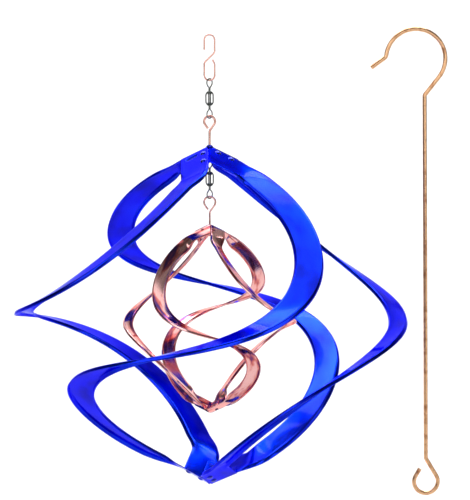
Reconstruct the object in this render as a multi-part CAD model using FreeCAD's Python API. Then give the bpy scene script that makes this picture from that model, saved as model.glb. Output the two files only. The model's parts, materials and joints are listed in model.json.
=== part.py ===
import FreeCAD, Part
import math
import os

# Wind spinner: two counter-turning cages of twisted metal strip, one inside the
# other, on fishing-type swivels under an S-hook, with a long hanger rod beside it.
# Millimetres, +Z up. The origin is the inside of the S-hook's upper bend, where
# the branch or hook that carries the spinner touches it. The main axis is Z.

Vector = FreeCAD.Vector

# ---------------------------------------------------------------- wire and links
HOOK_WIRE = 1.6             # S-hook wire diameter
HOOK_BEND_R = 4.6           # centre-line radius of both S-hook bends
HOOK_HEIGHT = 42.0          # over the wire, top to bottom
LINK_GAP = 0.3              # play between two linked wires
SWIVEL_WIRE = 1.2
SWIVEL_EYE_R = 3.7          # centre-line radius of a swivel's eyes
SWIVEL_EYE_REACH = 11.5     # from the cage's collar to the far side of the eye
SWIVEL_TURN = 50.0          # the swivel eyes hang this far round from the S-hook's plane
CAGE_TURN = 12.0            # and a cage's first rib is this far round
CAGE_LENGTH = 12.4
CAGE_R = 3.3                # centre line of the cage's ribs
CAGE_RIB = 1.2
COLLAR_R = 2.5
COLLAR_LENGTH = 1.5
NECK_R = 1.40
NECK_PLAY = 0.05            # radial play of a neck in its collar
NECK_HEAD_R = 2.0
NECK_HEAD_LENGTH = 1.0
EYE_WIRE = 2.2              # the outer spinner's eye wire
EYE_R = 4.85
LOWER_EYE_R = 3.6
INNER_WIRE = 1.8            # the inner spinner's eye wire
INNER_EYE_R = 5.1

# ---------------------------------------------------------------- strip cages
PLATE = 0.8                 # strip thickness
RIDGE_SLOPE = 26.0          # slope of a hub's four ridges, degrees
PLATE_GAP = 0.06            # between two riveted plates
EDGE_GAP = 1.0              # from a ridge to the next strip's edge
END_SETBACK = 0.3           # from a ridge to the end of the strip's own web

OUTER = dict(
    turn=1,                 # seen from above the strips wind clockwise going down
    top=-98.0,              # height of the upper hub's apex
    height=311.0,           # apex to apex
    radius=170.0,           # centre line at mid height
    width=27.0,
    waist=0.36,             # share of the width lost at mid height
    lip=3.0,                # depth of the bent lips
    drop=7.0,               # the helix starts this far inside the apexes
    fullness=0.90,          # under 1 fills the outline out towards the hubs
    sweep=157.0,            # degrees round the axis, hub to hub
    sway=12.5,              # extra degrees of lead at the quarter heights
    start=-20.2,            # heading of the helix at the upper hub
    slow_2=0.18,            # flattens the helix at mid height
    slow_4=-0.26,           # and steepens it at the quarter heights
    roll_1=-5.6,            # roll of the strip about its own length, degrees
    roll_3=-5.0,
    flat_end=0.046,         # share of the length that stays flat at a hub
    helix_from=0.095,       # share at which the helix is fully formed
    length=620.0,           # run of the strip while it is still flat, per unit share
    rivet_places=((9.5, 6.0), (22.5, 6.0)),     # along the strip, in from its ridge
    rivet_r=1.4,
    rivet_head_r=2.9,
    slotted_strip=2,                # only this strip has a slot, at its upper end
    slot=(12.0, 23.5, 7.0, 1.4),    # from, to, distance from the strip's end, width
    hub_hole_r=1.75,
)
INNER = dict(
    turn=-1,
    top=-168.6,
    height=173.6,
    radius=74.3,
    width=13.5,
    waist=0.30,
    lip=1.8,
    drop=4.3,
    fullness=0.885,
    sweep=142.0,
    sway=14.3,
    start=-14.0,
    slow_2=0.14,
    slow_4=-0.27,
    roll_1=2.0,
    roll_3=-7.5,
    flat_end=0.046,
    helix_from=0.10,
    length=320.0,
    rivet_places=((8.0, 3.6),),
    rivet_r=0.9,
    rivet_head_r=1.6,
    slotted_strip=None,
    hub_hole_r=1.35,
)
SECTIONS = 56               # sections lofted along the bent length of each strip
LIP_STUB = 0.03             # what is left of a lip on a hub's flat panel
LIP_LEAN = 0.5              # a lip leans out by this share of its depth
LIP_THIN = 0.9              # a lip's foot is this share of the plate's thickness
LIP_RAMP = 0.03             # share of the length over which the lips grow
STRIPS = 4
TAB_CLEAR = 0.16            # a folded tab leaves this share of its ridge free at the apex
TAB_DEPTH = 10.0            # how far a tab reaches under the next strip
TAB_SHARE = 0.48            # but never more than this share of the strip's width
FOLD_R = 0.72               # rolled fold between a strip's web and its tab
FOLD_IN = 0.35
FOLD_DOWN = 0.55
DOME_SHARE = 0.5            # height of a rivet's head over its radius
TAIL_SHARE = 1.45           # radius of a clinched tail over the shank's
TAIL_LENGTH = 0.7           # and its length over the shank's radius

# ---------------------------------------------------------------- hub hardware
WASHER_R = 3.0
WASHER_THICK = 0.6
WASHER_DROP = 3.0           # top of the washer under the hub's apex
WIRE_CLEAR = 0.02           # between a loose ring and the wire through it
CRIMP_R = 2.0
CRIMP_LENGTH = 1.5
CRIMP_GAP = 0.05            # between the washer and the crimp sleeve
CAP_RIM_R = 3.2
CAP_RIM = 0.5
CAP_SEAT = 0.15             # play between the cap and the strips
CAP_SHOULDER = (2.3, 0.55)  # radius and height over the apex
CAP_TOP = 1.1
LOWER_EYE_LOW = -112.0      # wire centre at the bottom of the outer spinner's lower eye
BEAD_HANG = 11.0            # the inner wire ends this far under the inner apex
BEAD_PROFILE = ((0.92, 0.6), (1.9, 1.2), (2.2, 3.5), (1.6, 6.0), (0.92, 6.6))

# ---------------------------------------------------------------- hanger rod
ROD = 4.2
ROD_AT = Vector(209.2, 150.0, 0)
ROD_LEAN = 1.0              # degrees, foot away from the spinner
ROD_HOOK_R = 29.0
ROD_HOOK_OFFSET = -8.6      # hook centre beside the shaft
ROD_TOP = 4.9               # centre line at the top of the hook
ROD_BOTTOM = -459.5         # centre line at the bottom of the eye
ROD_EYE_R = 12.0
ROD_HOOK_EARLY = 8.0        # the hook's curve ends this many degrees over its widest point
ROD_KINK = 39.0             # turn from the hook into the shaft, degrees


# ---------------------------------------------------------------- small helpers
def unit(v):
    return v * (1.0 / v.Length)


def blend(a, b, share):
    return a * (1.0 - share) + b * share


def smooth(x):
    x = min(max(x, 0.0), 1.0)
    return x * x * (3.0 - 2.0 * x)


def save(name, shape):
    shape.exportStep("parts/" + name + ".step")
    print(name, len(shape.Solids), "solid", round(shape.Volume, 1), "mm3", shape.isValid())


def cylinder(radius, low, high, x=0.0, y=0.0):
    return Part.makeCylinder(radius, high - low, Vector(x, y, low), Vector(0, 0, 1))


def revolve(points):
    """Solid of revolution about Z from (radius, height) corners."""
    corners = [Vector(r, 0, z) for r, z in points]
    face = Part.Face(Part.makePolygon(corners + [corners[0]]))
    return face.revolve(Vector(0, 0, 0), Vector(0, 0, 1), 360)


# ---------------------------------------------------------------- bent wire
class Bender:
    """Lays a wire in the XZ plane as straight runs and tangent bends."""

    def __init__(self, x, z, heading):
        self.point = Vector(x, 0, z)
        self.heading = heading
        self.edges = []

    def ahead(self, angle=0.0):
        a = math.radians(self.heading + angle)
        return Vector(math.cos(a), 0, math.sin(a))

    def run(self, length):
        end = self.point + self.ahead() * length
        self.edges.append(Part.LineSegment(self.point, end).toShape())
        self.point = end
        return self

    def bend(self, radius, turn):
        """Turns left for a positive angle, right for a negative one."""
        side = 90 if turn > 0 else -90
        centre = self.point + self.ahead(side) * radius
        points = []
        for share in (0.0, 0.5, 1.0):
            a = math.radians(self.heading - side + turn * share)
            points.append(centre + Vector(math.cos(a), 0, math.sin(a)) * radius)
        self.edges.append(Part.Arc(*points).toShape())
        self.point = points[2]
        self.heading += turn
        return self

    def solid(self, diameter):
        path = Part.Wire(self.edges)
        first = self.edges[0]
        start = first.valueAt(first.FirstParameter)
        along = first.tangentAt(first.FirstParameter)
        ring = Part.Wire([Part.makeCircle(diameter / 2, start, along)])
        return path.makePipeShell([ring], True, True)


def open_eye(bender, radius, flare, flare_r, tail, side):
    """Flares off the shank, goes round the eye and stops short of the shank."""
    a = math.radians(flare)
    reach = (radius * math.cos(a) - flare_r * (1 - math.cos(a))) / math.sin(a)
    bender.bend(flare_r, -side * flare)
    bender.run(reach)
    bender.bend(radius, side * (180 + 2 * flare))
    bender.run(reach * tail)
    return bender


def eye_height(radius, flare, flare_r):
    """Height of the eye's centre over the point where the shank starts to flare."""
    a = math.radians(flare)
    reach = (radius * math.cos(a) - flare_r * (1 - math.cos(a))) / math.sin(a)
    return flare_r * math.sin(a) + reach * math.cos(a) + radius * math.sin(a)


def make_s_hook():
    r = HOOK_BEND_R
    turn = 46.0                 # slant of the diagonal between the two bends
    blend_r = 4.0
    short_leg = 8.7
    free_leg = 9.0
    tip_turn = 25.0
    tip_run = 3.5
    a = math.radians(turn)
    slant = (2 * r - 2 * blend_r * (1 - math.cos(a))) / math.sin(a)
    upper_centre = HOOK_WIRE / 2 - r
    lower_centre = HOOK_WIRE - HOOK_HEIGHT + HOOK_WIRE / 2 + r
    across = 2 * blend_r * math.sin(a) + slant * math.cos(a)
    sides = upper_centre - lower_centre - across
    wire = Bender(-r, upper_centre - short_leg, 90)
    wire.run(short_leg).bend(r, -180).run(sides * 0.5)
    wire.bend(blend_r, -turn).run(slant).bend(blend_r, turn)
    wire.run(sides * 0.5).bend(r, 180).run(free_leg).bend(blend_r, tip_turn)
    wire.run(tip_run)
    return wire.solid(HOOK_WIRE)


# ---------------------------------------------------------------- swivels
def make_swivel_eye(collar_face, up):
    """Eye, neck and inner head of a swivel; up is +1 over the cage, -1 under it."""
    r = SWIVEL_EYE_R
    leg = 0.62                  # half the distance between the two legs
    root = 0.6                  # the legs end this far inside the neck
    flare = 48.0
    flare_r = 2.0
    a = math.radians(flare)
    reach = (r * math.cos(a) - leg - flare_r * (1 - math.cos(a))) / math.sin(a)
    rise = flare_r * math.sin(a) + reach * math.cos(a) + r * math.sin(a) + r
    straight = SWIVEL_EYE_REACH - rise
    wire = Bender(leg, -root, 90)
    wire.run(straight + root).bend(flare_r, -flare).run(reach).bend(r, 180 + 2 * flare)
    wire.run(reach).bend(flare_r, -flare).run(straight + root)
    loop = wire.solid(SWIVEL_WIRE)
    neck = cylinder(NECK_R, -COLLAR_LENGTH - 0.3, 0.5)
    head_top = -COLLAR_LENGTH - NECK_PLAY
    head = cylinder(NECK_HEAD_R, head_top - NECK_HEAD_LENGTH, head_top)
    eye = loop.fuse([neck, head]).removeSplitter()
    if up < 0:
        eye.rotate(Vector(0, 0, 0), Vector(1, 0, 0), 180)
    eye.translate(Vector(0, 0, collar_face))
    return eye


def make_cage(top):
    """Four bowed ribs between two collars, which the necks turn in."""
    low = top - CAGE_LENGTH
    shoulder = 48.0             # slope of a rib where it leaves its collar
    a = math.radians(shoulder)
    start_r = COLLAR_R - 0.5
    bend_r = 3.2
    tangent = bend_r * math.tan(math.radians(90 - shoulder) / 2)
    out = (CAGE_R - start_r) / math.cos(a) - tangent
    drop = (CAGE_R - start_r) * math.tan(a) + tangent
    middle = CAGE_LENGTH - COLLAR_LENGTH - 2 * drop
    pieces = []
    for z in (top - COLLAR_LENGTH, low):
        ring = cylinder(COLLAR_R, z, z + COLLAR_LENGTH)
        pieces.append(ring)
    for k in range(4):
        rib = Bender(start_r, top - COLLAR_LENGTH / 2, -shoulder)
        rib.run(out).bend(bend_r, shoulder - 90).run(middle)
        rib.bend(bend_r, shoulder - 90).run(out)
        bar = rib.solid(CAGE_RIB)
        bar.rotate(Vector(0, 0, 0), Vector(0, 0, 1), 90 * k)
        pieces.append(bar)
    cage = pieces[0].fuse(pieces[1:])
    bore = cylinder(NECK_R + NECK_PLAY, low - 1, top + 1)
    return cage.cut(bore).removeSplitter()


def swivel(prefix, hang_z):
    """Builds one swivel under a wire's centre height and returns its lowest wire centre."""
    top_collar = hang_z - SWIVEL_EYE_REACH
    low_collar = top_collar - CAGE_LENGTH
    for name, shape, turned in (
        ("top_eye", make_swivel_eye(top_collar, 1), SWIVEL_TURN),
        ("cage", make_cage(top_collar), CAGE_TURN),
        ("lower_eye", make_swivel_eye(low_collar, -1), SWIVEL_TURN),
    ):
        shape.rotate(Vector(0, 0, 0), Vector(0, 0, 1), turned)
        save(prefix + "_" + name, shape)
    return low_collar - SWIVEL_EYE_REACH


# ---------------------------------------------------------------- strips
def helix_point(cage, t):
    """Centre line of a strip away from the hubs, from the upper apex, t from 0 to 1."""
    r = cage["radius"] * math.sin(math.pi * min(max(t, 1e-6), 1 - 1e-6)) ** cage["fullness"]
    turned = cage["start"] - cage["sweep"] * t + cage["sway"] * math.sin(2 * math.pi * t)
    fall = t + cage["slow_2"] * math.sin(2 * math.pi * t) / (2 * math.pi)
    fall += cage["slow_4"] * math.sin(4 * math.pi * t) / (4 * math.pi)
    z = -cage["drop"] - (cage["height"] - 2 * cage["drop"]) * fall
    a = math.radians(turned)
    return Vector(r * math.cos(a), r * math.sin(a), z)


def helix_width(cage, t):
    """Width direction: a flat ring that is pulled open keeps its width towards its centre."""
    step = 0.002
    t = max(t, 0.02)
    before = helix_point(cage, t - step)
    here = helix_point(cage, t)
    after = helix_point(cage, t + step)
    along = unit(after - before)
    curve = after + before - here * 2
    inward = unit(curve - along * curve.dot(along))
    roll = cage["roll_1"] * math.cos(math.pi * t) + cage["roll_3"] * math.cos(3 * math.pi * t)
    a = math.radians(roll)
    return inward * math.cos(a) + along.cross(inward) * math.sin(a)


def panel_directions():
    """Length, width and outward normal of a flat hub panel whose ridges are X and -Y."""
    slope = math.radians(RIDGE_SLOPE)
    along = Vector(math.cos(slope), 0, -math.sin(slope))
    ridge = Vector(0, -math.cos(slope), -math.sin(slope))
    width = unit(ridge - along * ridge.dot(along))
    return along, width, unit(width.cross(along))


def half_turn(cage, v, is_point):
    """Turns a point or direction half a turn about the strip's own mid-height radius."""
    a = math.radians(cage["start"] - cage["sweep"] / 2)
    m = Vector(math.cos(a), math.sin(a), 0)
    flat = Vector(v.x, v.y, 0)
    turned = m * (2 * m.dot(flat)) - flat
    lift = -cage["height"] if is_point else 0.0
    return Vector(turned.x, turned.y, lift - v.z)


def strip_place(cage, t):
    """Centre point and width direction of the strip, before it is made square to its run."""
    if t > 0.5:
        point, width = strip_place(cage, 1 - t)
        return half_turn(cage, point, True), half_turn(cage, width, False)
    along, panel_width, _ = panel_directions()
    flat = panel_width * (cage["width"] / 2 + EDGE_GAP) + along * (cage["length"] * t)
    lead = smooth((t - cage["flat_end"]) / (cage["helix_from"] - cage["flat_end"]))
    if lead == 0:
        return flat, panel_width
    point = blend(flat, helix_point(cage, t), lead)
    return point, blend(panel_width, helix_width(cage, t), lead)


def strip_section(cage, t):
    """One closed channel section: a web with a lip bent down along each edge."""
    step = 0.001
    here, width = strip_place(cage, t)
    along = unit(strip_place(cage, t + step)[0] - strip_place(cage, t - step)[0])
    width = unit(width - along * width.dot(along))
    down = along.cross(width)
    half = cage["width"] / 2 * (1 - cage["waist"] * math.sin(math.pi * max(t, 0)) ** 6)
    near = min(t, 1 - t)
    lip_share = smooth((near - cage["flat_end"]) / LIP_RAMP)
    t2 = PLATE / 2
    lip = t2 + LIP_STUB + (cage["lip"] - t2 - LIP_STUB) * lip_share
    fold = LIP_LEAN * (lip - t2)
    foot = fold + PLATE
    outline = [
        (-half, lip), (-half + fold, -t2), (half - fold, -t2), (half, lip),
        (half - PLATE * LIP_THIN, lip), (half - foot, t2),
        (-half + foot, t2), (-half + PLATE * LIP_THIN, lip),
    ]
    corners = [here + width * u + down * v for u, v in outline]
    return Part.makePolygon(corners + [corners[0]])


def flip(cage, shape):
    """The same hub detail at the strip's other end."""
    a = math.radians(cage["start"] - cage["sweep"] / 2)
    other = shape.copy()
    other.rotate(Vector(0, 0, -cage["height"] / 2), Vector(math.cos(a), math.sin(a), 0), 180)
    return other


def panel_box(origin_turn, a0, a1, b0, b1, c0, c1):
    """Block on a hub panel: a along the strip, b across from the ridge, c outward."""
    along, width, out = panel_directions()
    corner = along * a0 + width * b0 + out * c0
    base = [corner, corner + along * (a1 - a0),
            corner + along * (a1 - a0) + width * (b1 - b0), corner + width * (b1 - b0)]
    block = Part.Face(Part.makePolygon(base + [base[0]])).extrude(out * (c1 - c0))
    block.rotate(Vector(0, 0, 0), Vector(0, 0, 1), origin_turn)
    return block


def panel_slot(low, high, near, far):
    """Slot cutter beside the strip's end line: low to high along it, near to far from it."""
    along, _, out = panel_directions()
    slope = math.radians(RIDGE_SLOPE)
    ridge = Vector(0, -math.cos(slope), -math.sin(slope))
    base = [ridge * q + along * a - out * 2 for q, a in
            ((low, near), (low, far), (high, far), (high, near))]
    return Part.Face(Part.makePolygon(base + [base[0]])).extrude(out * 4)


def hub_tab(cage):
    """The strip's end, folded over the ridge and laid under the next strip's web."""
    under = -(PLATE + PLATE_GAP)
    reach = cage["width"] + EDGE_GAP
    clear = TAB_CLEAR * reach
    depth = min(TAB_DEPTH, cage["width"] * TAB_SHARE)
    overlap = -0.5              # runs this far past the ridge, into the fold
    tab = panel_box(-90, clear, reach, overlap, depth, under - PLATE / 2, under + PLATE / 2)
    slope = math.radians(RIDGE_SLOPE)
    ridge = Vector(0, -math.cos(slope), -math.sin(slope))
    start = ridge * clear + Vector(FOLD_IN, 0, -FOLD_DOWN)
    fold = Part.makeCylinder(FOLD_R, reach - clear, start, ridge)
    return tab.fuse(fold)


def make_strip(cage):
    """One strip, starting on the front ridge of the upper hub; +X is its first heading."""
    first = -0.007              # starts a little beyond the ridge and is trimmed to it
    flat_end = cage["flat_end"]
    helix = [flat_end + (1 - 2 * flat_end) * k / (SECTIONS - 1) for k in range(SECTIONS)]
    stations = [first] + helix + [1 - first]
    web = Part.makeLoft([strip_section(cage, t) for t in stations], True, True)
    trim = Part.makeBox(40, 60, 50, Vector(END_SETBACK - 40, -45, -35))
    hole = cylinder(cage["hub_hole_r"], -6, 6)
    web = web.cut([trim, flip(cage, trim), hole, flip(cage, hole)])
    tab = hub_tab(cage)
    strip = web.fuse([tab, flip(cage, tab)]).removeSplitter()
    return strip


def make_rivet(cage):
    """A domed rivet on +Z with its bearing face at the origin, clinched under the tab."""
    r = cage["rivet_r"]
    head_r = cage["rivet_head_r"]
    through = PLATE * 2 + PLATE_GAP
    dome_h = DOME_SHARE * head_r
    ball_r = (head_r ** 2 + dome_h ** 2) / (2 * dome_h)
    ball = Part.makeSphere(ball_r)
    ball.translate(Vector(0, 0, dome_h - ball_r))
    half_space = Part.makeBox(4 * ball_r, 4 * ball_r, ball_r, Vector(-2 * ball_r, -2 * ball_r, 0))
    shank = cylinder(r, -through, 0)
    tail = cylinder(TAIL_SHARE * r, -through - TAIL_LENGTH * r, -through)
    return ball.common(half_space).fuse([shank, tail]).removeSplitter()


def make_rivets(cage):
    """Rivets of the upper hub: through each strip's web and the tab folded under it."""
    along, width, out = panel_directions()
    to_panel = FreeCAD.Rotation(Vector(0, 0, 1), out)
    rivets = []
    for a, b in cage["rivet_places"]:
        seat = along * a + width * b + out * (PLATE / 2)
        for k in range(STRIPS):
            rivet = make_rivet(cage)
            rivet.Placement = FreeCAD.Placement(seat, to_panel)
            rivet.rotate(Vector(0, 0, 0), Vector(0, 0, 1), 90 * k)
            rivets.append(rivet)
    return rivets


def place(cage, shape):
    """From the strip's own frame to the model's: winding side and height."""
    if cage["turn"] < 0:
        shape = shape.mirror(Vector(0, 0, 0), Vector(1, 0, 0))
    shape.translate(Vector(0, 0, cage["top"]))
    return shape


def make_spinner(prefix, cage):
    strip = make_strip(cage)
    for k in range(STRIPS):
        copy = strip.copy()
        if k + 1 == cage["slotted_strip"]:
            low, high, at, wide = cage["slot"]
            copy = copy.cut(panel_slot(low, high, at - wide / 2, at + wide / 2))
        copy.rotate(Vector(0, 0, 0), Vector(0, 0, 1), -90 * k)
        save(prefix + "_strip_" + str(k + 1), place(cage, copy))
    upper = make_rivets(cage)
    lower = [flip(cage, rivet) for rivet in upper]
    save(prefix + "_top_rivets", Part.makeCompound([place(cage, s) for s in upper]))
    save(prefix + "_bottom_rivets", Part.makeCompound([place(cage, s) for s in lower]))


# ---------------------------------------------------------------- eye wires
def make_main_wire(top_centre, low_centre):
    """One wire with an open eye at each end, through the outer spinner's upper hub."""
    flare = 35.0
    flare_r = 5.0
    low_flare = 50.0
    low_flare_r = 2.0
    high = top_centre - EYE_R - eye_height(EYE_R, flare, flare_r)
    low = low_centre + LOWER_EYE_R + eye_height(LOWER_EYE_R, low_flare, low_flare_r)
    upper = Bender(0, (high + low) / 2, 90).run(high - (high + low) / 2)
    open_eye(upper, EYE_R, flare, flare_r, 0.8, 1)
    lower = Bender(0, (high + low) / 2, -90).run((high + low) / 2 - low)
    open_eye(lower, LOWER_EYE_R, low_flare, low_flare_r, 0.1, 1)
    return upper.solid(EYE_WIRE).fuse(lower.solid(EYE_WIRE)).removeSplitter()


def make_inner_wire(top_centre, end):
    flare = 35.0
    flare_r = 5.0
    high = top_centre - INNER_EYE_R - eye_height(INNER_EYE_R, flare, flare_r)
    wire = Bender(0, end, 90).run(high - end)
    return open_eye(wire, INNER_EYE_R, flare, flare_r, 0.8, 1).solid(INNER_WIRE)


def make_hub_cap(cage):
    """Small domed washer on the apex, under which the four ridges meet."""
    top = cage["top"]
    bore = EYE_WIRE / 2 + WIRE_CLEAR
    slope = math.tan(math.radians(RIDGE_SLOPE))
    lift = PLATE / 2 + CAP_SEAT
    rim_z = top + lift - slope * CAP_RIM_R
    shoulder_r, shoulder_h = CAP_SHOULDER
    return revolve([(bore, top + lift - slope * bore), (CAP_RIM_R, rim_z),
                    (CAP_RIM_R, rim_z + CAP_RIM), (shoulder_r, top + shoulder_h),
                    (bore, top + CAP_TOP)])


def make_loose_ring(radius, top, length, clear):
    """Washer or sleeve round the outer spinner's wire."""
    ring = cylinder(radius, top - length, top)
    return ring.cut(cylinder(EYE_WIRE / 2 + clear, top - length - 1, top + 1))


def make_hanger():
    r = ROD_HOOK_R
    centre_z = ROD_TOP - r
    tip_turn = 55.0
    tip_r = 4.0
    a = math.radians(ROD_KINK)
    kink_r = 3.0
    end_x = ROD_HOOK_OFFSET + r * math.cos(a)
    slant = (end_x - kink_r * (1 - math.cos(a))) / math.sin(a)
    tip_run = 16.0
    early = math.radians(ROD_HOOK_EARLY)
    start = Bender(ROD_HOOK_OFFSET - r * math.cos(early), centre_z + r * math.sin(early),
                   -90 - ROD_HOOK_EARLY)
    start.bend(tip_r, ROD_HOOK_EARLY - tip_turn).run(tip_run)
    rod = Bender(start.point.x, start.point.z, start.heading + 180)
    rod.run(tip_run).bend(tip_r, tip_turn - ROD_HOOK_EARLY)
    rod.bend(r, ROD_HOOK_EARLY - 180 - ROD_KINK).run(slant)
    rod.bend(kink_r, ROD_KINK)
    flare = 30.0
    flare_r = 6.0
    eye_start = ROD_BOTTOM + ROD_EYE_R + eye_height(ROD_EYE_R, flare, flare_r)
    rod.run(rod.point.z - eye_start)
    open_eye(rod, ROD_EYE_R, flare, flare_r, 0.45, -1)
    solid = rod.solid(ROD)
    solid.rotate(Vector(0, 0, ROD_TOP), Vector(0, 1, 0), -ROD_LEAN)
    solid.translate(ROD_AT)
    return solid


# ---------------------------------------------------------------- build
os.makedirs("parts", exist_ok=True)

save("s_hook", make_s_hook())
hook_low = HOOK_WIRE - HOOK_HEIGHT + HOOK_WIRE / 2
swivel_top = hook_low + (HOOK_WIRE + SWIVEL_WIRE) / 2 + LINK_GAP
swivel_low = swivel("upper_swivel", swivel_top)

eye_top = swivel_low + (SWIVEL_WIRE + EYE_WIRE) / 2 + LINK_GAP
save("main_eye_wire", make_main_wire(eye_top, LOWER_EYE_LOW))
save("hub_cap", make_hub_cap(OUTER))
washer_top = OUTER["top"] - WASHER_DROP
save("hub_washer", make_loose_ring(WASHER_R, washer_top, WASHER_THICK, WIRE_CLEAR))
crimp_top = washer_top - WASHER_THICK - CRIMP_GAP
save("hub_crimp_sleeve", make_loose_ring(CRIMP_R, crimp_top, CRIMP_LENGTH, 2 * WIRE_CLEAR))
make_spinner("outer", OUTER)

inner_swivel_top = LOWER_EYE_LOW + (EYE_WIRE + SWIVEL_WIRE) / 2 + LINK_GAP
inner_swivel_low = swivel("lower_swivel", inner_swivel_top)
inner_eye_top = inner_swivel_low + (SWIVEL_WIRE + INNER_WIRE) / 2 + LINK_GAP
wire_end = INNER["top"] - BEAD_HANG
save("inner_eye_wire", make_inner_wire(inner_eye_top, wire_end))
save("inner_crimp_bead", revolve([(r, wire_end + z) for r, z in BEAD_PROFILE]))
make_spinner("inner", INNER)

save("hanger_rod", make_hanger())
print("swivel wires", swivel_top, swivel_low, "eye", eye_top, "inner", inner_swivel_top,
      inner_swivel_low, inner_eye_top)
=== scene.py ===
# %% [markdown]
# # A hanging wind spinner
# The real thing is two cages of sheet-metal strip, one inside the other, that turn
# opposite ways in the wind. Four blue lacquered strips are riveted together at two
# pointed hubs; four copper plated strips make the smaller cage inside. Fishing
# swivels and bent wire eyes join them, and a long wire hanger goes with the set.
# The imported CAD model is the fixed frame. It gives every place. The strips and rivets
# made here stand for its nodes with rounder lips and heads, and the wires and swivels
# keep the frame's own meshes and get real finishes.

# %% Load the frame
import json
import math

import bmesh
import bpy
from mathutils import Matrix, Vector


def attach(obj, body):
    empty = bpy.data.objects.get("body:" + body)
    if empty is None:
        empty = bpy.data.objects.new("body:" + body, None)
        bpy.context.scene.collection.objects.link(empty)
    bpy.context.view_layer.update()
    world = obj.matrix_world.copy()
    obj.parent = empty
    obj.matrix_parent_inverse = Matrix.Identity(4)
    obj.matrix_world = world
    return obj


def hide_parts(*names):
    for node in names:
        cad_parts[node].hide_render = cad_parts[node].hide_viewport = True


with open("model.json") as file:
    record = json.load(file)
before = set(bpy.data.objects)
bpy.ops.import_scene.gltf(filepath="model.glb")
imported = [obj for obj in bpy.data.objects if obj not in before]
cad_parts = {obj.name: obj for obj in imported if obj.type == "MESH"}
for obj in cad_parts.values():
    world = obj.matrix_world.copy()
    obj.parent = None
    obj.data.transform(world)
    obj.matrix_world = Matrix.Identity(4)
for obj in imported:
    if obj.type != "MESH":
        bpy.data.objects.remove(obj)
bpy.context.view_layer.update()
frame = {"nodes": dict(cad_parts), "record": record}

MM = 0.001
nodes = frame["nodes"]
body_of = {}
for body, members in frame["record"]["behaviour"]["bodies"].items():
    for member in members:
        body_of[member] = body
slot_of = {}
for row in frame["record"]["subparts"]:
    slot_of[row["node"]] = row["material_slot"]

# %% [markdown]
# ## The camera
# A long lens from straight in front and a little above, as for a catalogue picture.
# It looks down by a few degrees, so the hubs show their far ridges. The middle of
# the view is a point between the spinner and the hanger rod.

# %% Camera
SENSOR = 36.0               # mm
LENS = 127.8                # mm
CAMERA_AT = (0.0, -1588.0, 18.4)
PITCH_DOWN = 7.55           # degrees
YAW_RIGHT = 0.82

camera_data = bpy.data.cameras.new("camera")
camera_data.sensor_width = SENSOR
camera_data.lens = LENS
camera = bpy.data.objects.new("camera", camera_data)
bpy.context.scene.collection.objects.link(camera)
camera.location = Vector(CAMERA_AT) * MM
camera.rotation_euler = (math.radians(90 - PITCH_DOWN), 0, math.radians(-YAW_RIGHT))
bpy.context.scene.camera = camera
bpy.context.scene.view_settings.view_transform = "Standard"
print("camera at", [round(v, 3) for v in camera.location], "lens", camera_data.lens)

# %% [markdown]
# ## Small helpers for materials
# Colours are written as the hex values a designer would pick on a screen, and one
# function turns them to the linear values that the shader works in. A second one
# adds a node, sets it and links it, so each material below reads as a short recipe.


# %% Colour and node helpers
def linear(hex_code):
    """sRGB hex to linear RGBA."""
    values = []
    for k in (0, 2, 4):
        c = int(hex_code[k:k + 2], 16) / 255
        values.append(c / 12.92 if c <= 0.04045 else ((c + 0.055) / 1.055) ** 2.4)
    return (*values, 1.0)


def node(tree, kind, settings=None, inputs=None):
    """Adds a node; an input is a value, or an output socket to link from."""
    made = tree.nodes.new(kind)
    for key, value in (settings or {}).items():
        setattr(made, key, value)
    for key, value in (inputs or {}).items():
        if isinstance(value, bpy.types.NodeSocket):
            tree.links.new(value, made.inputs[key])
        else:
            made.inputs[key].default_value = value
    return made


def ramp(tree, source, stops):
    """Colour ramp through (place, hex) stops."""
    made = node(tree, "ShaderNodeValToRGB", inputs={"Fac": source})
    while len(made.color_ramp.elements) < len(stops):
        made.color_ramp.elements.new(0.5)
    for element, (place, hex_code) in zip(made.color_ramp.elements, stops):
        element.position = place
        element.color = linear(hex_code)
    return made.outputs["Color"]


def spread(tree, source, low, high):
    """Maps 0..1 to low..high."""
    made = node(tree, "ShaderNodeMapRange", inputs={"Value": source, "To Min": low, "To Max": high})
    return made.outputs["Result"]


def new_material(name):
    made = bpy.data.materials.new(name)
    made.use_nodes = True
    return made, made.node_tree, made.node_tree.nodes["Principled BSDF"]


# %% [markdown]
# ## Blue lacquer on rolled steel
# The strips are bright rolled steel under a transparent blue lacquer. Light goes
# through the lacquer, off the metal and back, so the blue is the colour of the
# reflection itself: a metal with a blue base and a blue edge tint, so low angles stay
# blue too. A thin clear coat adds a little white gloss over it. Rolling leaves faint
# lines along the strip, drawn coarser than they are so that they show, and the
# lacquer lies a little thicker in some places, which makes the blue deeper there.

# %% Blue lacquer
ROLL_LINE = 0.6 * MM        # spacing of the rolling lines
LACQUER_CLOUD = 45 * MM     # size of the thicker and thinner areas


def strip_pattern(tree, across, along, detail):
    """Noise that is drawn out along the strip, from the strip's own UV map in metres."""
    place = node(tree, "ShaderNodeUVMap", {"uv_map": "strip"})
    stretched = node(tree, "ShaderNodeMapping", inputs={
        "Vector": place.outputs["UV"], "Scale": (1 / along, 1 / across, 1)})
    noise = node(tree, "ShaderNodeTexNoise", inputs={
        "Vector": stretched.outputs["Vector"], "Scale": 1.0, "Detail": detail})
    return noise.outputs["Fac"]


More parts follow.
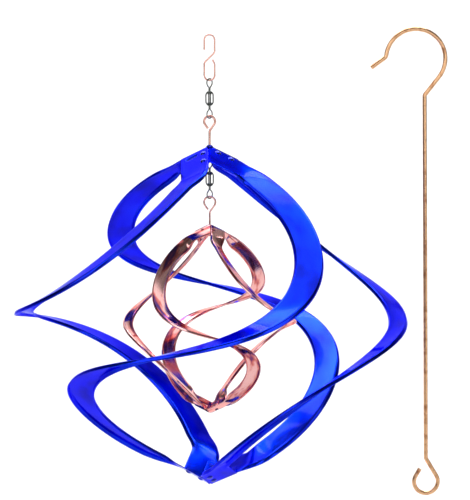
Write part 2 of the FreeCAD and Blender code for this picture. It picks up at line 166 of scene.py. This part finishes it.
def blue_lacquer(name, light, middle, deep):
    made, tree, surface = new_material(name)
    cloud = strip_pattern(tree, LACQUER_CLOUD * 0.4, LACQUER_CLOUD, 2.0)
    lines = strip_pattern(tree, ROLL_LINE, 40 * ROLL_LINE, 1.0)
    colour = ramp(tree, cloud, [(0.30, deep), (0.50, middle), (0.72, light)])
    tree.links.new(colour, surface.inputs["Base Color"])
    surface.inputs["Metallic"].default_value = 1.0
    tree.links.new(spread(tree, lines, 0.14, 0.22), surface.inputs["Roughness"])
    surface.inputs["Specular Tint"].default_value = linear(light)
    surface.inputs["Coat Weight"].default_value = 0.15
    surface.inputs["Coat Roughness"].default_value = 0.06
    bump = node(tree, "ShaderNodeBump", inputs={
        "Height": lines, "Strength": 0.12, "Distance": 0.02 * MM})
    tree.links.new(bump.outputs["Normal"], surface.inputs["Normal"])
    return made


blue = blue_lacquer("blue_lacquer_on_rolled_steel", "143EFF", "0C30F2", "081CB0")
print("made", blue.name)

# %% [markdown]
# ## Copper plate with heat tint
# The inner strips are polished copper plate. Heat has left tint clouds of orange,
# purple and blue in places. The clouds are noise along the strip, sent through a
# colour ramp whose stops follow the order in which the tints really come.

# %% Copper plate
TINT_CLOUD = 30 * MM        # size of the heat tint clouds


def copper_plate(name):
    made, tree, surface = new_material(name)
    cloud = strip_pattern(tree, TINT_CLOUD * 0.22, TINT_CLOUD * 1.4, 3.0)
    lines = strip_pattern(tree, ROLL_LINE, 40 * ROLL_LINE, 1.0)
    stops = [(0.0, "FFD4D0"), (0.48, "FCC0BC"), (0.55, "E07C74"), (0.60, "984C6C"),
             (0.66, "48387C"), (0.74, "985478"), (0.86, "F0A8A4")]
    tree.links.new(ramp(tree, cloud, stops), surface.inputs["Base Color"])
    surface.inputs["Metallic"].default_value = 1.0
    surface.inputs["Specular Tint"].default_value = linear("FFD4D0")
    tree.links.new(spread(tree, lines, 0.08, 0.16), surface.inputs["Roughness"])
    bump = node(tree, "ShaderNodeBump", inputs={
        "Height": lines, "Strength": 0.1, "Distance": 0.02 * MM})
    tree.links.new(bump.outputs["Normal"], surface.inputs["Normal"])
    return made


copper = copper_plate("heat_tinted_copper_plate")
print("made", copper.name)

# %% [markdown]
# ## Wire, nickel and small fittings
# The wire is steel drawn through a die and copper plated, so it has fine scratches
# and a soft bright line. The swivels are brass with a black nickel plating that has
# worn pale where the rings rub. These read Object coordinates in real millimetres.


# %% Drawn wire and plated fittings
def plated(name, base, worn, rough, grain, wear=0.62, coat=0.0):
    """Metal with a fine grain in its gloss and small areas of a second tone."""
    made, tree, surface = new_material(name)
    place = node(tree, "ShaderNodeTexCoord").outputs["Object"]
    grain_noise = node(tree, "ShaderNodeTexNoise", inputs={
        "Vector": place, "Scale": 1 / grain, "Detail": 3.0}).outputs["Fac"]
    wear_noise = node(tree, "ShaderNodeTexNoise", inputs={
        "Vector": place, "Scale": 0.2 / grain, "Detail": 4.0}).outputs["Fac"]
    tone = ramp(tree, wear_noise, [(wear - 0.12, base), (wear + 0.08, worn)])
    tree.links.new(tone, surface.inputs["Base Color"])
    surface.inputs["Metallic"].default_value = 1.0
    surface.inputs["Coat Weight"].default_value = coat
    tree.links.new(spread(tree, grain_noise, rough * 0.7, rough * 1.4), surface.inputs["Roughness"])
    bump = node(tree, "ShaderNodeBump", inputs={
        "Height": grain_noise, "Strength": 0.15, "Distance": 0.02 * MM})
    tree.links.new(bump.outputs["Normal"], surface.inputs["Normal"])
    return made


copper_wire = plated("copper_plated_drawn_wire", "FAC8BA", "CC8C80", 0.18, 0.8 * MM)
rod_wire = plated("bronze_copper_plated_rod", "F8C496", "C88A60", 0.2, 1.2 * MM)
black_nickel = plated("black_nickel_plate", "4A4E4C", "A8ACA6", 0.20, 0.6 * MM, 0.66)
nickel = plated("bright_nickel_plate", "8C908C", "5A5E5A", 0.18, 0.6 * MM)
blue_rivet = plated("blue_lacquered_rivet", "1428D8", "0A1470", 0.22, 1.0 * MM, 0.6, 0.6)
copper_rivet = plated("copper_rivet", "C07060", "6A4070", 0.20, 1.0 * MM)
brass = plated("drawn_brass", "C8A060", "A07C48", 0.25, 0.8 * MM)
FINISH = {
    "blue_strip": blue, "blue_rivet": blue_rivet, "copper_strip": copper,
    "copper_rivet": copper_rivet, "copper_wire": copper_wire, "nickel": nickel,
    "black_nickel": black_nickel, "brass": brass,
}
print("finishes:", ", ".join(sorted(FINISH)))

# %% [markdown]
# ## Finishing a piece
# Every new piece ends the same way. Its mesh gets smooth shading with sharp creases
# kept, its material, and the body that it moves with, and the CAD node that it stands
# for is hidden. One function does this, so no piece is forgotten.


# %% Finish a piece
CREASE = 35.0               # degrees past which an edge stays sharp


def finish(bm, name, material, stands_for):
    """Turns a bmesh in millimetres into a named object in metres that rides on its body."""
    bmesh.ops.recalc_face_normals(bm, faces=bm.faces)
    bmesh.ops.scale(bm, vec=(MM, MM, MM), verts=bm.verts)
    mesh = bpy.data.meshes.new(name)
    bm.to_mesh(mesh)
    bm.free()
    mesh.shade_smooth()
    mesh.set_sharp_from_angle(angle=math.radians(CREASE))
    mesh.materials.append(material)
    piece = bpy.data.objects.new(name, mesh)
    bpy.context.scene.collection.objects.link(piece)
    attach(piece, body_of[stands_for])
    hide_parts(stands_for)
    return piece


# %% [markdown]
# ## The shape of a strip
# A maker cuts a flat strip, bends its two edges down as stiffening lips, and rivets
# four of them into a pointed hub at each end. Pulled open, each strip becomes a
# helix that swells out to mid height. So a strip is described by where its centre
# line runs and which way its width lies. Near a hub it lies flat on the hub's
# sloping panel; past that it turns smoothly into the helix. The lower half is the
# upper half turned half a turn, because the two hubs are alike.

# %% Strip dimensions
OUTER = dict(
    turn=1, top=-98.0, height=311.0, radius=170.0, width=27.0, waist=0.36, lip=3.0,
    drop=7.0, fullness=0.90, sweep=157.0, sway=12.5, start=-20.2, slow_2=0.18,
    slow_4=-0.26, roll_1=-5.6, roll_3=-5.0, flat_end=0.046, helix_from=0.095,
    length=620.0, rivets=((9.5, 6.0), (22.5, 6.0)), rivet_r=1.4, head_r=2.9,
    slot_at=7.0, slotted=2, hole_r=1.75,
)
INNER = dict(
    turn=-1, top=-168.6, height=173.6, radius=74.3, width=13.5, waist=0.30, lip=1.8,
    drop=4.3, fullness=0.885, sweep=142.0, sway=14.3, start=-14.0, slow_2=0.14,
    slow_4=-0.27, roll_1=2.0, roll_3=-7.5, flat_end=0.046, helix_from=0.10,
    length=320.0, rivets=((8.0, 3.6),), rivet_r=0.9, head_r=1.6,
    slot_at=None, slotted=None, hole_r=1.35,
)
PLATE = 0.8                 # thickness of the sheet
PLATE_GAP = 0.06            # between two riveted plates
EDGE_GAP = 1.0              # from a hub's ridge to the next strip's edge
RIDGE_SLOPE = 26.0          # degrees
LIP_RAMP = 0.03             # share of the length over which the lips grow


# %% Centre line and width direction
def smooth(x):
    x = min(max(x, 0.0), 1.0)
    return x * x * (3.0 - 2.0 * x)


def helix_point(cage, t):
    """Centre line of a strip away from the hubs, for t from 0 to 1."""
    r = cage["radius"] * math.sin(math.pi * min(max(t, 1e-6), 1 - 1e-6)) ** cage["fullness"]
    a = math.radians(cage["start"] - cage["sweep"] * t + cage["sway"] * math.sin(2 * math.pi * t))
    fall = t + cage["slow_2"] * math.sin(2 * math.pi * t) / (2 * math.pi)
    fall += cage["slow_4"] * math.sin(4 * math.pi * t) / (4 * math.pi)
    z = -cage["drop"] - (cage["height"] - 2 * cage["drop"]) * fall
    return Vector((r * math.cos(a), r * math.sin(a), z))


def helix_width(cage, t):
    """An opened ring keeps its width pointing at its own centre of curvature."""
    step = 0.002
    t = max(t, 0.02)
    before = helix_point(cage, t - step)
    here = helix_point(cage, t)
    after = helix_point(cage, t + step)
    along = (after - before).normalized()
    curve = after + before - here * 2
    inward = (curve - along * curve.dot(along)).normalized()
    roll = cage["roll_1"] * math.cos(math.pi * t) + cage["roll_3"] * math.cos(3 * math.pi * t)
    a = math.radians(roll)
    return inward * math.cos(a) + along.cross(inward) * math.sin(a)


slope = math.radians(RIDGE_SLOPE)
ALONG = Vector((math.cos(slope), 0, -math.sin(slope)))
RIDGE = Vector((0, -math.cos(slope), -math.sin(slope)))
ACROSS = (RIDGE - ALONG * RIDGE.dot(ALONG)).normalized()
OUTWARD = ACROSS.cross(ALONG).normalized()
NEXT_ACROSS = Matrix.Rotation(math.radians(-90), 3, "Z") @ ACROSS
NEXT_OUTWARD = Matrix.Rotation(math.radians(-90), 3, "Z") @ OUTWARD
SKEW = -ACROSS.x / ALONG.x      # how far the end line leans, per millimetre across
print("hub ridges slope", RIDGE_SLOPE, "degrees, end lines lean", round(SKEW, 3))


def half_turn(cage, v, is_point):
    """Turns the upper half of a strip into its lower half."""
    a = math.radians(cage["start"] - cage["sweep"] / 2)
    m = Vector((math.cos(a), math.sin(a), 0))
    flat = Vector((v.x, v.y, 0))
    turned = m * (2 * m.dot(flat)) - flat
    lift = -cage["height"] if is_point else 0.0
    return Vector((turned.x, turned.y, lift - v.z))


def strip_place(cage, t):
    """Centre point and width direction, flat at a hub and then turning into the helix."""
    if t > 0.5:
        point, width = strip_place(cage, 1 - t)
        return half_turn(cage, point, True), half_turn(cage, width, False)
    flat = ACROSS * (cage["width"] / 2 + EDGE_GAP) + ALONG * (cage["length"] * t)
    lead = smooth((t - cage["flat_end"]) / (cage["helix_from"] - cage["flat_end"]))
    if lead == 0:
        return flat, ACROSS
    return flat.lerp(helix_point(cage, t), lead), ACROSS.lerp(helix_width(cage, t), lead)


# %% [markdown]
# ## From a flat grid to a strip
# The strip starts as a flat grid, like the sheet it is cut from: rows along it and
# columns across it. Each corner of the grid is then laid where the bent strip has
# it. The columns near the edges go round the bend of the lip, and the rows past the
# end fold over the ridge and lie under the next strip, where the rivets hold them.
# Cells are taken out where the slot is punched, and the sheet gets its thickness
# from a Solidify modifier, so its edges close by themselves.

# %% Lay out one strip
COLUMNS = 24
WEB_SHARE = 0.58            # share of the columns' half range that is flat web
BEND_SHARE = 0.82           # up to here they go round the bend of the lip
LIP_TURN = 68.0             # degrees the lip is bent down
SWING_FROM = 8.5            # rows follow the slanting end line this far, in mm
SWING_LENGTH = 12.0         # and swing square to the strip over this length
HELIX_ROWS = 170
LIP_BEND = 0.32             # bend radius of the lip over its depth
TAB_DEPTH = 10.0            # how far a folded tab reaches under the next strip
TAB_SHARE = 0.48            # but never more than this share of the strip's width
TAB_CLEAR = 0.16            # share of the ridge that a tab leaves free at the apex
TAB_FOLD = 0.11             # share of its depth over which a tab folds under
TAB_DEPTHS = (0.0, 0.5, 1.1, 3.0, 5.0, 7.0, 8.5, 9.4, TAB_DEPTH)
PANEL_ROWS = (0.0, 3.0, 6.3, 7.7, 11.0, 15.0, 20.0, 25.0)
ROW_GAP = 3.0               # from the last panel row to the first helix row
SLOT_COLUMNS = (-0.2, 0.62)     # the slot's two ends across the strip


def lip_profile(cage, half, share, y):
    """Place across the strip and depth below its web, for a column at y from -1 to 1."""
    flank = math.radians(LIP_TURN)
    bend_r = LIP_BEND * cage["lip"]
    side = math.copysign(1.0, y)
    y = abs(y)
    foot = bend_r * (1 - math.cos(flank))
    straight = max(cage["lip"] - foot, 0.2) / math.sin(flank)
    web = half - PLATE / 2 - bend_r * math.sin(flank) - straight * math.cos(flank)
    if y <= WEB_SHARE:
        c = web * y / WEB_SHARE
        d = 0.0
    elif y <= BEND_SHARE:
        a = flank * (y - WEB_SHARE) / (BEND_SHARE - WEB_SHARE)
        c = web + bend_r * math.sin(a)
        d = bend_r * (1 - math.cos(a))
    else:
        run = straight * (y - BEND_SHARE) / (1 - BEND_SHARE)
        c = web + bend_r * math.sin(flank) + run * math.cos(flank)
        d = foot + run * math.sin(flank)
    flat_c = half * y
    return side * (flat_c + (c - flat_c) * share), d * share


def tab_place(cage, depth, y):
    """The end of the strip, folded over the ridge and laid under the next one."""
    reach = cage["width"] + EDGE_GAP
    size = min(TAB_DEPTH, cage["width"] * TAB_SHARE)
    d = depth / TAB_DEPTH * size
    inner = TAB_CLEAR * reach + 0.06 * reach * (d / size) ** 3      # rounded inner corner
    outer = reach - 0.05 * reach * (d / size) ** 4                  # rounded outer corner
    q = inner + (outer - inner) * (y + 1) / 2
    fold = smooth(d / (TAB_FOLD * size))
    ridge_q = (cage["width"] / 2 * y + reach - cage["width"] / 2) / RIDGE.dot(ACROSS)
    q = ridge_q + (q - ridge_q) * fold
    under = (PLATE + PLATE_GAP) * fold
    return RIDGE * q + NEXT_ACROSS * d - NEXT_OUTWARD * under


def web_place(cage, t, y):
    """A corner of the grid on the strip proper."""
    step = 0.001
    here, width = strip_place(cage, t)
    along = (strip_place(cage, t + step)[0] - strip_place(cage, t - step)[0]).normalized()
    width = (width - along * width.dot(along)).normalized()
    down = along.cross(width)
    half = cage["width"] / 2 * (1 - cage["waist"] * math.sin(math.pi * max(t, 0)) ** 6)
    share = smooth((min(t, 1 - t) - cage["flat_end"]) / LIP_RAMP)
    c, d = lip_profile(cage, half, share, y)
    return here + width * c + down * d


def panel_scale(cage):
    """The rows near a hub are set out for the wide strips and shrink on narrow ones."""
    return min(1.0, cage["width"] / OUTER["width"])


def panel_place(cage, run, y):
    """A corner near the hub, where the rows swing round to the slanting end line."""
    t = run / cage["length"]
    b = cage["width"] / 2 * (1 + y) + EDGE_GAP
    fade = 1 - smooth((run / panel_scale(cage) - SWING_FROM) / SWING_LENGTH)
    return web_place(cage, t, y) + ALONG * (SKEW * b * fade)


def strip_rows(cage):
    """Every row of the grid from end to end: which end, and how far along."""
    scale = panel_scale(cage)
    end_rows = [("tab", depth) for depth in reversed(TAB_DEPTHS[1:])]
    end_rows += [("panel", run * scale) for run in PANEL_ROWS]
    start_t = (PANEL_ROWS[-1] * scale + ROW_GAP * scale) / cage["length"]
    rows = [("upper",) + row for row in end_rows]
    for k in range(HELIX_ROWS + 1):
        rows.append(("middle", "web", start_t + (1 - 2 * start_t) * k / HELIX_ROWS))
    rows += [("lower",) + row for row in reversed(end_rows)]
    return rows


def strip_corner(cage, row, y):
    """Where one corner of the grid lies on the bent strip, clear of the hub's hole."""
    half, kind, at = row
    if half == "middle":
        return web_place(cage, at, y)
    if kind == "tab":
        point = tab_place(cage, at, y)
    else:
        point = panel_place(cage, at, y)
    off_axis = math.hypot(point.x, point.y)
    if off_axis < cage["hole_r"]:
        grow = cage["hole_r"] / max(off_axis, 0.01)
        point = Vector((point.x * grow, point.y * grow, point.z))
    return half_turn(cage, point, True) if half == "lower" else point


def in_slot(cage, row, next_row, low, high):
    """True for the cells that the slot takes away, at the upper hub only."""
    if row[:2] != ("upper", "panel") or next_row[:2] != ("upper", "panel"):
        return False
    middle = (row[2] + next_row[2]) / 2
    across = SLOT_COLUMNS[0] < low and high < SLOT_COLUMNS[1]
    return across and abs(middle - cage["slot_at"]) < 0.5


def make_strip(cage, number, name, material):
    """One strip: a grid laid out row by row, the slot taken out, then thickened."""
    rows = strip_rows(cage)
    slotted = number + 1 == cage["slotted"]
    bm = bmesh.new()
    bmesh.ops.create_grid(bm, x_segments=len(rows) - 1, y_segments=COLUMNS, size=1.0)
    uv = bm.loops.layers.uv.new("strip")
    where = {}
    for vert in bm.verts:
        i = round((vert.co.x + 1) / 2 * (len(rows) - 1))
        where[vert] = (i, vert.co.y)
    gone = []
    for face in bm.faces:
        first = min(where[v][0] for v in face.verts)
        ys = [where[v][1] for v in face.verts]
        if slotted and in_slot(cage, rows[first], rows[first + 1], min(ys), max(ys)):
            gone.append(face)
    bmesh.ops.delete(bm, geom=gone, context="FACES_ONLY")
    mirrored = -1 if cage["turn"] < 0 else 1
    spin = math.radians(-90 * number) * mirrored
    place = Matrix.Translation((0, 0, cage["top"])) @ Matrix.Rotation(spin, 4, "Z")
    place = place @ Matrix.Diagonal((mirrored, 1, 1, 1))
    for vert in bm.verts:
        i, y = where[vert]
        vert.co = place @ strip_corner(cage, rows[i], y)
    long_way = cage["length"] * 1.1 * MM
    for face in bm.faces:
        for loop in face.loops:
            i, y = where[loop.vert]
            loop[uv].uv = (long_way * i / len(rows) + number, y * cage["width"] / 2 * MM)
    piece = finish(bm, name, material, name)
    thick = piece.modifiers.new("sheet", "SOLIDIFY")
    thick.thickness = PLATE * MM
    thick.offset = 0.0
    return piece


strips = []
for prefix, cage, material in (("outer", OUTER, blue), ("inner", INNER, copper)):
    for k in range(4):
        strips.append(make_strip(cage, k, f"{prefix}_strip_{k + 1}", material))
print("strips:", len(strips), "with", len(strips[0].data.polygons), "cells each")

# %% [markdown]
# ## Rivets
# Two rivets hold each folded end of a blue strip under the next one, and one rivet
# does it on the copper cage. A rivet is a solid of revolution: a shallow dome, a
# shank, and a tail that was pressed flat underneath. Half of its outline is drawn
# once and spun round, then copied to each of its seats on the sloping panels.


# %% Turned shapes and rivets
RIVET_STEPS = 28
DOME_STEPS = 7
DOME_RIM = 0.16             # height of the straight rim under a rivet's dome
DOME_SHARE = 0.42           # height of the dome over the head's radius
TAIL = ((1.45, 0.0), (1.45, 0.4), (1.15, 0.7), (0.0, 0.7))      # radius, depth over the shank's r


def lathe(bm, outline):
    """Spins (radius, height) corners round Z; the outline starts and ends on the axis."""
    verts = [bm.verts.new((r, 0, z)) for r, z in outline]
    edges = [bm.edges.new(pair) for pair in zip(verts, verts[1:])]
    bmesh.ops.spin(bm, geom=verts + edges, cent=(0, 0, 0), axis=(0, 0, 1), angle=2 * math.pi,
                   steps=RIVET_STEPS, use_merge=True, use_duplicate=False)
    bmesh.ops.remove_doubles(bm, verts=bm.verts, dist=1e-5)


def dome(radius, height, base):
    """Outline of a dome from its pole to its rim."""
    ball = (radius ** 2 + height ** 2) / (2 * height)
    half = math.asin(radius / ball)
    points = []
    for k in range(DOME_STEPS + 1):
        a = half * k / DOME_STEPS
        points.append((ball * math.sin(a), base + height - ball * (1 - math.cos(a))))
    return points


def make_rivets(cage, prefix, end, material):
    """All the rivets of one hub, as one piece of separate solids."""
    name = f"{prefix}_{end}_rivets"
    r = cage["rivet_r"]
    head = cage["head_r"]
    through = 2 * PLATE + PLATE_GAP
    outline = dome(head, DOME_SHARE * head, DOME_RIM)
    outline += [(head, 0.0), (r, 0.0), (r, -through)]
    outline += [(wide * r, -through - deep * r) for wide, deep in TAIL]
    mirrored = -1 if cage["turn"] < 0 else 1
    whole = bmesh.new()
    for a, b in cage["rivets"]:
        seat = ALONG * a + ACROSS * b + OUTWARD * (PLATE / 2)
        tilt = Vector((0, 0, 1)).rotation_difference(OUTWARD).to_matrix().to_4x4()
        for k in range(4):
            one = bmesh.new()
            lathe(one, outline)
            spin = Matrix.Rotation(math.radians(90 * k), 4, "Z")
            bmesh.ops.transform(one, verts=one.verts, matrix=spin @ Matrix.Translation(seat) @ tilt)
            for vert in one.verts:
                point = vert.co.copy()
                if end == "bottom":
                    point = half_turn(cage, point, True)
                vert.co = Vector((point.x * mirrored, point.y, point.z + cage["top"]))
            mesh = bpy.data.meshes.new("rivet")
            one.to_mesh(mesh)
            one.free()
            whole.from_mesh(mesh)
            bpy.data.meshes.remove(mesh)
    return finish(whole, name, material, name)


for prefix, cage, material in (("outer", OUTER, blue_rivet), ("inner", INNER, copper_rivet)):
    for end in ("top", "bottom"):
        made = make_rivets(cage, prefix, end, material)
        print(made.name, len(made.data.polygons), "faces")

# %% [markdown]
# ## The CAD pieces that stay
# The swivels, the wires and the hub fittings are already the right shape in the
# frame, so they keep their meshes and get their plated finishes here. The cap on
# the outer spinner's apex is lacquered the rivets' darker blue.

# %% Finishes for the frame's own pieces
for name in nodes:
    if "strip" in name or "rivets" in name:
        continue
    material = rod_wire if name == "hanger_rod" else FINISH[slot_of[name]]
    if name == "hub_cap":
        material = blue_rivet
    nodes[name].data.materials.clear()
    nodes[name].data.materials.append(material)
    print("kept", name, "in", material.name)

# %% [markdown]
# ## Floor and light
# A pale floor far below, which curves up behind as a seamless backdrop. Large soft
# lights stand in front on the left, on the right and behind the camera. One more lies
# overhead, and one high at the back left brightens the hub's sloping panels. Polished
# metal shows what is around it, so the lights are wide and not too bright, or the
# blue would wash out. The room itself is dim, which leaves dark shades between the
# reflections, and two separate lights wash the backdrop and the floor.

# %% Backdrop
FLOOR_Z = -0.85
BACK_Y = 3.2
CURVE_R = 1.4
FRONT_Y = -5.0
HALF_WIDE = 7.0
WALL = 4.0
FLOOR_SHARE = 0.4           # share of the sheet's rows on the floor
CURVE_SHARE = 0.3           # and on the curve; the rest are on the wall


def make_backdrop():
    """One sheet of paper: flat floor, quarter-round curve, upright wall."""
    bm = bmesh.new()
    bmesh.ops.create_grid(bm, x_segments=1, y_segments=40, size=1.0)
    for vert in bm.verts:
        share = (vert.co.y + 1) / 2
        x = vert.co.x * HALF_WIDE
        if share < FLOOR_SHARE:
            y = FRONT_Y + (BACK_Y - CURVE_R - FRONT_Y) * share / FLOOR_SHARE
            z = 0.0
        elif share < FLOOR_SHARE + CURVE_SHARE:
            a = math.radians(90) * (share - FLOOR_SHARE) / CURVE_SHARE
            y = BACK_Y - CURVE_R + CURVE_R * math.sin(a)
            z = CURVE_R * (1 - math.cos(a))
        else:
            y = BACK_Y
            wall_share = 1 - FLOOR_SHARE - CURVE_SHARE
            z = CURVE_R + WALL * (share - FLOOR_SHARE - CURVE_SHARE) / wall_share
        vert.co = Vector((x, y, z + FLOOR_Z))
    mesh = bpy.data.meshes.new("backdrop")
    bm.to_mesh(mesh)
    bm.free()
    mesh.shade_smooth()
    made, tree, surface = new_material("matt_white_paper")
    place = node(tree, "ShaderNodeTexCoord").outputs["Object"]
    fibre = node(tree, "ShaderNodeTexNoise", inputs={"Vector": place, "Scale": 3.0}).outputs["Fac"]
    paper = ramp(tree, fibre, [(0.3, "F4F4F4"), (0.7, "F8F8F8")])
    tree.links.new(paper, surface.inputs["Base Color"])
    surface.inputs["Roughness"].default_value = 0.9
    mesh.materials.append(made)
    piece = bpy.data.objects.new("backdrop", mesh)
    bpy.context.scene.collection.objects.link(piece)
    print("backdrop: floor at", FLOOR_Z, "m, wall at", BACK_Y, "m")


make_backdrop()


# %% Lights
def soft_light(name, at, look_at, size, power, tall=None):
    """A rectangular soft box, sizes in metres and power in watts."""
    data = bpy.data.lights.new(name, "AREA")
    data.shape = "RECTANGLE"
    data.size = size
    data.size_y = tall or size
    data.energy = power
    lamp = bpy.data.objects.new(name, data)
    bpy.context.scene.collection.objects.link(lamp)
    lamp.location = at
    aim = Vector(look_at) - Vector(at)
    lamp.rotation_euler = aim.to_track_quat("-Z", "Y").to_euler()


MIDDLE = (0.0, 0.0, -0.25)
ROOM_LIGHT = 0.1
soft_light("key_left", (-1.5, -1.2, 0.7), MIDDLE, 1.4, 12, 1.8)
soft_light("fill_right", (1.7, -0.9, 0.0), MIDDLE, 1.0, 6.5, 1.8)
soft_light("overhead", (0.1, 0.2, 1.3), MIDDLE, 1.3, 5.5)
soft_light("front", (0.2, -2.8, 0.2), MIDDLE, 2.4, 13, 1.4)
soft_light("back_left", (-0.95, 1.35, 1.45), MIDDLE, 0.9, 3.6)
soft_light("backdrop_wash", (0.0, 1.4, 2.0), (0.0, 3.2, -0.2), 2.6, 60, 0.8)
soft_light("floor_wash", (0.0, 1.0, 2.2), (0.0, 1.9, -0.85), 2.6, 30, 0.8)
world = bpy.data.worlds.new("studio")
bpy.context.scene.world = world
world.use_nodes = True
world.node_tree.nodes["Background"].inputs["Color"].default_value = (1, 1, 1, 1)
world.node_tree.nodes["Background"].inputs["Strength"].default_value = ROOM_LIGHT
